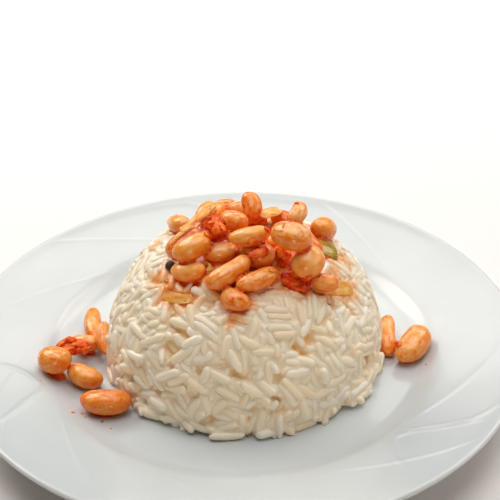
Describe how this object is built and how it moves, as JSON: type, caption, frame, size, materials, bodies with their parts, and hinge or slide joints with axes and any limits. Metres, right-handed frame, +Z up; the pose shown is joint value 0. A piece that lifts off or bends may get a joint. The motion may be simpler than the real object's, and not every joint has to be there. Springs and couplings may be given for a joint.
{
  "type": "plate of rice and beans",
  "caption": "Moulded dome of white rice on a wide-rimmed porcelain plate, topped with white beans in tomato sauce, with a few loose beans beside it.",
  "frame": {"origin": "on the table, at the centre of the plate's foot ring", "axes": "+Z up, +Y away from the viewer, +X to the viewer's right"},
  "size_m": [0.19, 0.19, 0.0664],
  "materials": {
    "porcelain": "glazed white porcelain, high gloss",
    "rice": "cooked white rice, moist and a little glossy",
    "bean": "boiled white bean coated in tomato and oil sauce, wet gloss",
    "tomato": "cooked tomato, wet gloss",
    "pepper": "stewed green pepper, wet gloss",
    "onion": "stewed onion stained by oil, translucent and wet",
    "peppercorn": "wrinkled dried peppercorn"
  },
  "bodies": {
    "root": {"plate": "porcelain", "rice_mound": "rice", "peppercorn": "peppercorn", "onion_left": "onion", "onion_right": "onion", "onion_middle": "onion", "tomato_front": "tomato", "pepper_green": "pepper", "tomato_middle": "tomato", "bean_01": "bean", "bean_02": "bean", "bean_03": "bean", "bean_04": "bean", "bean_05": "bean", "bean_06": "bean", "bean_07": "bean", "bean_08": "bean", "bean_09": "bean", "bean_10": "bean", "bean_11": "bean", "bean_12": "bean", "bean_13": "bean", "bean_14": "bean", "bean_15": "bean", "bean_16": "bean", "bean_17": "bean", "bean_18": "bean", "bean_19": "bean", "bean_20": "bean", "bean_21": "bean", "bean_22": "bean", "bean_23": "bean", "bean_24": "bean", "bean_25": "bean", "bean_26": "bean", "bean_27": "bean", "tomato_back": "tomato", "onion_strip": "onion", "onion_back": "onion", "bean_28": "bean", "bean_29": "bean", "bean_30": "bean", "bean_31": "bean", "bean_32": "bean", "bean_33": "bean", "bean_34": "bean", "bean_35": "bean", "bean_36": "bean", "bean_37": "bean", "bean_38": "bean", "bean_39": "bean", "tomato_shred": "tomato", "tomato_on_plate": "tomato"}
  },
  "joints": []
}
